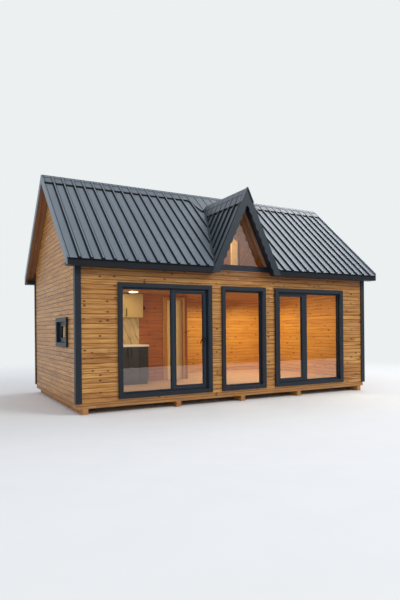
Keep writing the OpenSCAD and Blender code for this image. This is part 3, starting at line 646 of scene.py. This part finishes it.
def on_face(axis, level, side):
    """Places (across, up, outwards) on a plane that faces along X (axis 0) or Y (axis 1)."""
    def place(a, b, out):
        spot = Vector((a, a, b))
        spot[axis] = level + side * out
        return spot
    return place


# Sections of the glazing strips: (distance inwards, height outwards)
BEAD = [(0.0, 0.0), (0.005, 0.0), (0.005, 0.004), (0.002, 0.009), (0.0, 0.009)]
SEAL = [(0.005, 0.0), (0.007, 0.0), (0.0065, 0.0025), (0.005, 0.003)]


def glazing(name, panes, body):
    """Sloping beads and black seals that hold the panes, on their outer and inner faces."""
    beads, seals = bmesh.new(), bmesh.new()
    for low, high in panes:
        axis = 0 if in_gable((low, high)) else 1
        across = 1 - axis
        corners = (low[across], low.z), (high[across], high.z)
        for place in (on_face(axis, low[axis], -1), on_face(axis, high[axis], 1)):
            ring(beads, *corners, place, BEAD)
            ring(seals, *corners, place, SEAL)
    finished(name + "_beads", beads, FRAME, body)
    finished(name + "_seals", seals, RUBBER, body)


def unit_front(mesh, x0, x1, y, z0, z1):
    """A front that covers a unit from x0 to x1, less 2 mm of shadow gap on each side."""
    board(mesh, (x0 + 0.002, y - FRONT_T, z0), (x1 - 0.002, y - 0.0005, z1))


def kitchen():
    """Fronts and handles of the units, above an open plinth, and a switch beside them."""
    low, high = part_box("base_cabinet")
    plinth = 0.104
    fronts, filler, doors, bars = bmesh.new(), bmesh.new(), bmesh.new(), bmesh.new()
    edges = [low.x, -2.976, -2.612, -2.248, -1.884, -1.661, high.x]   # between two fronts
    spans = list(zip(edges, edges[1:]))
    for x0, x1 in spans[:-1]:
        unit_front(fronts, x0, x1, low.y, low.z + plinth, high.z - 0.004)
    unit_front(filler, *spans[-1], low.y, low.z + plinth, high.z - 0.004)
    for x in (-1.929, -1.839, -2.567, -2.657):
        bar_handle(bars, x, low.y - FRONT_T, 0.888, 1.107)
    low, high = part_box("wall_cabinet")
    edges = [low.x, -2.78, -2.34, -1.9, high.x]
    for x0, x1 in zip(edges, edges[1:]):
        unit_front(doors, x0, x1, low.y, low.z + 0.002, high.z - 0.002)
        bar_handle(bars, x0 + 0.03, low.y - FRONT_T, 1.80, 1.99)
    wall_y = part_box("partition_wall")[0].y
    board(bars, (-1.31, wall_y - 0.02, 1.975), (-1.268, wall_y - 0.0005, 2.05), 0.003)
    finished("base_cabinet_fronts", fronts, GREY)
    finished("base_cabinet_filler", filler, DARK_GREY)
    finished("wall_cabinet_doors", doors, CABINET)
    finished("cabinet_handles", bars, BRONZE)


def bar_handle(mesh, x, y, z0, z1):
    """A square bar on two posts, standing 30 mm off a front."""
    board(mesh, (x - 0.008, y - 0.032, z0), (x + 0.008, y - 0.02, z1), 0.0015)
    for z in (z0 + 0.015, z1 - 0.025):
        board(mesh, (x - 0.004, y - 0.021, z), (x + 0.004, y, z + 0.01), 0.001)


# ---------------------------------------------------------------- roof fittings
def on_main(side):
    """Places (along the ridge, down the slope, outwards) on the main roof's deck."""
    def place(a, down, out):
        y = down * math.cos(PITCH) + out * math.sin(PITCH)
        return Vector((a, side * y, RIDGE_Z - down * math.sin(PITCH) + out * math.cos(PITCH)))
    return place


def on_dormer(side):
    """Places (along the dormer's ridge, down its slope, outwards) on the dormer's deck."""
    def place(a, down, out):
        x = down * math.cos(DORMER_PITCH) + out * math.sin(DORMER_PITCH)
        z = DORMER_Z - down * math.sin(DORMER_PITCH) + out * math.cos(DORMER_PITCH)
        return Vector((side * x, a, z))
    return place


def slab(mesh, place, a, down, out, mitre=0.0):
    """A block between two values of each slope coordinate; mitre leans its upper end."""
    verts = [mesh.verts.new(place(a[i], down[j] - (mitre * out[k] if j == 0 else 0.0), out[k]))
             for i in (0, 1) for j in (0, 1) for k in (0, 1)]
    for quad in ((0, 1, 3, 2), (4, 6, 7, 5), (0, 4, 5, 1), (2, 3, 7, 6), (0, 2, 6, 4),
                 (1, 5, 7, 3)):
        mesh.faces.new([verts[i] for i in quad])


def loft_through(mesh, loops):
    """A closed solid through four-cornered loops, the same way round each time."""
    for near, far in zip(loops, loops[1:]):
        for i in range(4):
            j = (i + 1) % 4
            mesh.faces.new([near[i], far[i], far[j], near[j]])
    mesh.faces.new(loops[0])
    mesh.faces.new(loops[-1][::-1])


def foam_closures():
    """Black foam strips in the gap between the ridge caps and the pans; their black, running out
    past the caps' edge, is partly a painted shadow line.
    """
    mesh = bmesh.new()
    for side in (-1, 1):
        wedge(mesh, on_main(side), [(-DECK_X + 0.002, CAP_LEG), (DECK_X - 0.002, CAP_LEG)])
        wedge(mesh, on_dormer(side), [(-2.136, CAP_LEG), (-0.72, CAP_LEG)])
    finished("ridge_foam_closures", mesh, RUBBER)


def wedge(mesh, place, points):
    """A foam wedge below a flashing's lower edge, through (along, down) points; it runs 42 mm past
    the edge, so its black face is partly a painted shadow under the flashing.
    """
    low, high = SHEET_T + 0.0003, CAP_LOW + 0.0008
    loops = []
    for a, down in points:
        section = ((down - 0.02, low), (down - 0.02, high), (down - 0.001, high),
                   (down + 0.042, low))
        loops.append([mesh.verts.new(place(a, d, out)) for d, out in section])
    loft_through(mesh, loops)


def dormer_cap_end():
    """The dormer's ridge cap laps its barge boards and ends in front of them."""
    mesh = bmesh.new()
    lean = math.tan(DORMER_PITCH)
    for side in (-1, 1):
        slab(mesh, on_dormer(side), (-2.19, -2.12), (0.0, CAP_LEG), (0.0402, 0.0436), lean)
    finished("dormer_cap_end", mesh, DORMER_CAP)


def saddle_edge(x):
    """How far down the slope the saddle reaches at x: it steps down beside the dormer."""
    ends = [(0.0, 0.56), (0.06, 0.58), (0.172, 0.712), (0.207, 0.64), (0.37, CAP_LEG + 0.01)]
    for (x0, d0), (x1, d1) in zip(ends, ends[1:]):
        if abs(x) <= x1:
            return d0 + (d1 - d0) * (abs(x) - x0) / (x1 - x0)
    return CAP_LEG


def saddle():
    """The flashing behind the dormer's ridge, folded over the main roof's ribs."""
    flat, top, thick = CAP_LOW + 0.002, SHEET_T + RIB_H + 0.002, 0.003
    points = [(x, flat) for x in (-0.37, -0.207, -0.172, 0.172, 0.207, 0.37)]
    for k in (-1.5, -0.5, 0.5, 1.5):
        rib = k * RIB_PITCH
        points += [(rib - RIB_BASE / 2 - 0.004, flat), (rib - RIB_TOP / 2, top),
                   (rib + RIB_TOP / 2, top), (rib + RIB_BASE / 2 + 0.004, flat)]
    points.sort()
    place = on_main(-1)
    mesh, foam = bmesh.new(), bmesh.new()
    rows = []
    for x, out in points:
        rows.append([mesh.verts.new(place(x, down, out + rise)) for down, rise in
                     ((CAP_LEG - 0.02, 0.0), (CAP_LEG - 0.02, thick), (saddle_edge(x), thick),
                      (saddle_edge(x), 0.0))])
    loft_through(mesh, rows)
    # The foam's black below the saddle's edge is partly a painted shadow line
    wedge(foam, place, [(x, saddle_edge(x)) for x, _ in points])
    finished("dormer_saddle", mesh, CAP)
    finished("saddle_foam_closure", foam, RUBBER)


def eave_shadow_strip():
    """A black strip between the sheets' lower edge and the fascia: a painted shadow under the
    sheets' overhang.
    """
    mesh = bmesh.new()
    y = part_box("fascias")[1].y
    gap = 0.86               # half the width of the dormer at the eave
    for x0, x1, y0, y1 in ((-DECK_X, -gap, -y - 0.009, -y - 0.0005),
                           (gap, DECK_X, -y - 0.009, -y - 0.0005),
                           (-DECK_X, DECK_X, y + 0.0005, y + 0.009)):
        board(mesh, (x0, y0, 2.722), (x1, y1, 2.745), 0.001)
    finished("eave_painted_shadow_strip", mesh, RUBBER)


def lamp_dome():
    """The ceiling lamp's opal cover, a flattened ball under the ceiling."""
    low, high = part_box("ceiling_light")
    middle = (low + high) / 2
    mesh = bmesh.new()
    bmesh.ops.create_uvsphere(mesh, u_segments=40, v_segments=20, radius=1.0)
    for vert in mesh.verts:
        vert.co = Vector((middle.x + vert.co.x * 0.105, middle.y + vert.co.y * 0.105,
                          high.z - 0.0175 + vert.co.z * 0.017))
    for face in mesh.faces:
        face.smooth = True
    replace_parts(finished("ceiling_lamp_cover", mesh, LAMP), "ceiling_light")


def leaf_edges():
    """A raised lip round the glazed leaf in the lighter reveal slate: a painted highlight along the
    leaf's edges.
    """
    low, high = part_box("entry_door")
    mesh = bmesh.new()
    ring(mesh, (low.x + 0.003, low.z + 0.003), (high.x - 0.003, high.z - 0.003),
         on_face(1, low.y, -1), [(0.0, 0.0), (0.0, 0.004), (0.014, 0.004), (0.016, 0.0)])
    finished("door_leaf_lip", mesh, REVEAL_PAINTED_LIGHT, "door_leaf")


def reveals():
    """Thin slate covers on both side faces of the openings, in front of the frames, lighter than
    the trim: painted light on returns that lie in shade.
    """
    mesh = bmesh.new()
    fronts = [pair for pair in shells("window_frames") if not in_gable(pair)]
    for low, high in fronts + [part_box("entry_frame")]:
        for x, side in ((low.x, 1), (high.x, -1)):
            for near, far, y0, y1 in ((0.0003, 0.0018, 0.0005, 0.0205),
                                      (0.0123, 0.0138, 0.0215, 0.0595)):
                ends = sorted((x + side * near, x + side * far))
                board(mesh, (ends[0], low.y - y1, low.z + near + 0.001),
                      (ends[1], low.y - y0, high.z - near - 0.001), 0.0003)
    finished("reveal_covers", mesh, REVEAL_PAINTED_LIGHT)


def stud_row_tree():
    """Adds a row of small frustums, such as screw heads or plugs, to a mesh."""
    tree, g, out = group("stud_row", [
        ("Start", "Vector"), ("Step", "Vector"), ("Count", "Int"), ("Sides", "Int"),
        ("Foot", "Float"), ("Head", "Float"), ("Height", "Float"), ("Spin", "Rotation"),
        ("Squash", "Vector"), ("Turn", "Rotation"), ("Finish", "Material")])
    line = add(tree, "GeometryNodeMeshLine",
               {"Count": g["Count"], "Start Location": g["Start"], "Offset": g["Step"]})
    stud = add(tree, "GeometryNodeMeshCone",
               {"Vertices": g["Sides"], "Radius Bottom": g["Foot"], "Radius Top": g["Head"],
                "Depth": g["Height"]})
    stud = add(tree, "GeometryNodeTransform", {0: stud.outputs["Mesh"], "Rotation": g["Spin"]})
    stud = add(tree, "GeometryNodeTransform", {0: stud, "Scale": g["Squash"]})
    studs = add(tree, "GeometryNodeInstanceOnPoints",
                {"Points": line, "Instance": stud, "Rotation": g["Turn"]})
    real = add(tree, "GeometryNodeRealizeInstances", {0: studs})
    both = add(tree, "GeometryNodeJoinGeometry", {0: g["Geometry"]})
    tree.links.new(real.outputs[0], both.inputs[0])
    done = add(tree, "GeometryNodeSetMaterial", {"Geometry": both, "Material": g["Finish"]})
    tree.links.new(done.outputs[0], out.inputs[0])
    return tree


STUDS = stud_row_tree()


def stud_rows(obj, down, rows, sides, foot, head, height, squash, finish):
    """Adds a row of studs on a roof slope for each (side, first x, count), one every rib."""
    for side, x, count in rows:
        modifier = obj.modifiers.new("row", "NODES")
        modifier.node_group = STUDS
        set_inputs(modifier, {"Start": on_main(side)(x, down, SHEET_T), "Count": count,
                              "Step": (RIB_PITCH, 0, 0), "Sides": sides, "Foot": foot,
                              "Head": head, "Height": height, "Spin": (0, 0, math.pi / 4),
                              "Squash": squash, "Turn": (-side * PITCH, 0, 0), "Finish": finish})


def clear_of_dormer(down, shift):
    """Rows of places on the front slope, each (first x, count), that the dormer leaves free."""
    half = (DORMER_Z - RIDGE_Z + down * math.sin(PITCH)) / DORMER_RISE + 0.13
    free = [(i + shift) * RIB_PITCH for i in range(-17, 17)]
    left = [x for x in free if x < -max(half, 0.0)]
    right = [x for x in free if x > max(half, 0.0)]
    return [(left[0], len(left)), (right[0], len(right))]


def rib_plugs():
    """Black foam in the open ends of the ribs at the eaves."""
    obj = object_of("rib_end_plugs", bmesh.new())
    root = math.sqrt(0.5)
    rows = [(-1, x, count) for x, count in clear_of_dormer(SHEET_L, 0.5)]
    rows.append((1, -16.5 * RIB_PITCH, 34))
    stud_rows(obj, SHEET_L + 0.002, rows, 4, RIB_BASE * root, RIB_TOP * root, RIB_H - 0.001,
              (1.0, 0.05, 1.0), RUBBER)
    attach(evaluated(obj), "house")


def roof_screws():
    """Coated screw heads in the pans, beside the ribs, along four battens a slope."""
    obj = object_of("roof_screws", bmesh.new())
    for down in (0.36, 1.15, 1.98, 2.84):
        rows = [(-1, x, count) for x, count in clear_of_dormer(down, 0.82)]
        rows.append((1, -16.18 * RIB_PITCH, 33))
        stud_rows(obj, down, rows, 8, 0.009, 0.006, 0.005, (1.0, 1.0, 1.0), CAP)
    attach(evaluated(obj), "house")


def loft_post():
    """A dark cover strip on the loft's post, beside the pale panel."""
    low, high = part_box("loft_panel")
    mesh = bmesh.new()
    board(mesh, (high.x + 0.001, -0.043, low.z + 0.001), (high.x + 0.04, -0.0355, high.z - 0.02))
    finished("loft_cover_strip", mesh, UMBER)


def gable_window_lining():
    """Pale lining boards round the small window, inside its frame and beside its pane."""
    low, high = next(filter(in_gable, shells("window_frames")))
    pane_low, pane_high = next(filter(in_gable, shells("window_glass")))
    gap, thick = 0.0005, 0.0035
    mesh = bmesh.new()
    for y0, y1, z0, z1 in (
            (high.y - thick, high.y - gap, low.z + 0.004, high.z - 0.004),
            (low.y + gap, low.y + thick, low.z + 0.004, high.z - 0.004),
            (low.y + gap, high.y - gap, low.z + gap, low.z + thick),
            (low.y + gap, high.y - gap, high.z - thick, high.z - gap)):
        board(mesh, (high.x + gap, y0, z0), (-IN_X - gap, y1, z1), 0.0005)
    for y0, y1 in ((pane_high.y - thick, pane_high.y - gap),
                   (pane_low.y + gap, pane_low.y + thick)):
        board(mesh, (pane_high.x + 0.0095, y0, pane_low.z + 0.001),
              (high.x - gap, y1, pane_high.z - 0.001), 0.0005)
    finished("gable_window_lining", mesh, CREAM)


def architrave():
    """The upright that closes the doorway against the post."""
    low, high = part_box("doorway_trim")
    mesh = bmesh.new()
    board(mesh, (high.x - 0.034, low.y - 0.014, low.z + 0.001),
          (high.x + 0.029, low.y - 0.0005, high.z - 0.001))
    finished("doorway_architrave", mesh, ARCHITRAVE)


# ---------------------------------------------------------------- studio
def area_light(name, place, target, size, power, tint="#ffffff"):
    """A soft rectangular lamp at a place, turned towards a target."""
    data = bpy.data.lights.new(name, "AREA")
    data.shape = "RECTANGLE"
    data.size, data.size_y = size
    data.energy = power
    data.color = colour(tint)[:3]
    lamp = placed(name, data)
    lamp.location = place
    lamp.rotation_euler = (Vector(target) - Vector(place)).to_track_quat("-Z", "Y").to_euler()


def camera():
    """Eye height 1.5 m, level but for a slight roll, turned 28 degrees from straight on."""
    data = bpy.data.cameras.new("camera")
    data.lens = 29.73
    data.shift_y = 0.0485
    turn, roll = math.radians(28.37), -0.00895
    ahead = Vector((math.sin(turn), math.cos(turn), 0))
    across = Vector((math.cos(turn), -math.sin(turn), 0))
    up = Vector((0, 0, 1))
    right = across * math.cos(roll) + up * math.sin(roll)
    top = up * math.cos(roll) - across * math.sin(roll)
    eye = placed("camera", data)
    basis = Matrix((right, top, -ahead)).transposed().to_4x4()
    eye.matrix_world = Matrix.Translation((-5.698, -10.62, 1.506)) @ basis
    bpy.context.scene.camera = eye


def floor():
    """A pale plain floor that fades into the backdrop well away from the house."""
    tree, at, out = new_material("pale_studio_floor")
    grit = add(tree, "ShaderNodeTexNoise", {"Vector": at, "Scale": 2.0})
    tint = add(tree, "ShaderNodeValToRGB", {0: grit}, stops=[(0.3, "#f1f3f3"), (0.7, "#f3f5f5")])
    matt = add(tree, "ShaderNodeBsdfDiffuse", {"Color": tint})
    clear = add(tree, "ShaderNodeBsdfTransparent")
    reach = add(tree, "ShaderNodeVectorMath", {0: at}, operation="LENGTH")
    far = add(tree, "ShaderNodeMapRange",
              {"Value": reach.outputs["Value"], "From Min": 6.0, "From Max": 14.0},
              interpolation_type="SMOOTHSTEP")
    both = add(tree, "ShaderNodeMixShader", {0: far, 1: matt, 2: clear})
    tree.links.new(both.outputs[0], out.inputs["Surface"])
    mesh = bmesh.new()
    bmesh.ops.create_circle(mesh, cap_ends=True, segments=64, radius=16.0)
    object_of("studio_floor", mesh, bpy.data.materials["pale_studio_floor"])


def world():
    """Soft light from all round; what the eye and mirrors see of it is the pale backdrop."""
    backdrop = bpy.data.worlds.new("studio")
    bpy.context.scene.world = backdrop
    backdrop.use_nodes = True
    tree = backdrop.node_tree
    tree.nodes.clear()
    path = add(tree, "ShaderNodeLightPath").outputs
    seen = add(tree, "ShaderNodeMath",
               {0: path["Is Camera Ray"], 1: path["Is Glossy Ray"]}, operation="MAXIMUM")
    seen = add(tree, "ShaderNodeMath",
               {0: seen, 1: path["Is Transmission Ray"]}, operation="MAXIMUM")
    light = add(tree, "ShaderNodeBackground", {0: colour("#f6f8ff"), 1: 0.72})
    back = add(tree, "ShaderNodeBackground", {0: colour("#ecf0f1"), 1: 1.0})
    both = add(tree, "ShaderNodeMixShader", {0: seen, 1: light, 2: back})
    add(tree, "ShaderNodeOutputWorld", {0: both})


def lights():
    """Two large soft sources outside; the rest are the warm lamps of the rooms and the loft."""
    area_light("key", (12, -19, 17), (0, 0, 1.2), (9.6, 9.6), 2300)
    area_light("top", (15, 5, 17), (1, -1, 3), (9.6, 9.6), 1100)
    area_light("room_left", (-1.7, -1.0, 1.9), (-1.3, 0.1, 0.2), (1.8, 1.0), 13, "#ffdcaa")
    area_light("room_front", (1.2, -0.8, 2.3), (1.2, -0.5, 0), (2.8, 1.0), 34, "#ffe0a6")
    area_light("room_back", (1.4, 0.95, 2.15), (1.4, 1.0, 0), (3.0, 0.6), 46, "#ffe0a6")
    area_light("room_right", (2.2, 0.0, 2.1), (3.3, 0.1, 0.5), (2.6, 0.6), 19, "#ffe0a0")
    area_light("worktop", (-2.4, -0.02, 1.765), (-2.4, 0.15, 1.1), (1.8, 0.1), 0.8, "#ffdf9f")
    area_light("lamp", (-1.9, -0.55, 2.3), (-2.1, -0.1, 1.5), (0.14, 0.14), 3.2, "#ffe9b0")
    area_light("loft", (0.1, -0.35, 3.75), (0.9, 0.9, 3.2), (0.35, 0.35), 42, "#ffe6c0")
    area_light("dormer", (-0.25, -0.9, 3.2), (0.5, -0.7, 3.5), (0.7, 0.2), 1.4, "#ffe2c8")
    area_light("gable_window", (-3.1, -1.2, 1.55), (-3.37, -0.54, 1.47), (0.1, 0.1), 1.4, "#ffdcae")


def flag():
    """A grey cloth behind the camera that only mirrors see, so that the panes show the rooms
    and not the bright backdrop."""
    mesh = bmesh.new()
    corners = [(-9, -11.6, 0.0), (22, -11.6, 0.0), (22, -11.6, 4.3), (-9, -11.6, 4.3)]
    mesh.faces.new([mesh.verts.new(c) for c in corners])
    obj = object_of("studio_flag", mesh,
                    plain_stuff("grey_studio_cloth", "#5c5c5e", "#666668", 5.0, 0.9, 1.0))
    for ray in ("camera", "diffuse", "shadow", "transmission", "volume_scatter"):
        setattr(obj, "visible_" + ray, False)


camera()
floor()
world()
lights()
flag()
finish_nodes()
walls()
decks()
glazing("windows", shells("window_glass"), "house")
glazing("entry_door", shells("entry_door_glass"), "door_leaf")
kitchen()
foam_closures()
dormer_cap_end()
saddle()
rib_plugs()
roof_screws()
eave_shadow_strip()
lamp_dome()
leaf_edges()
loft_post()
architrave()
gable_window_lining()
reveals()
bpy.context.scene.view_settings.view_transform = "Standard"
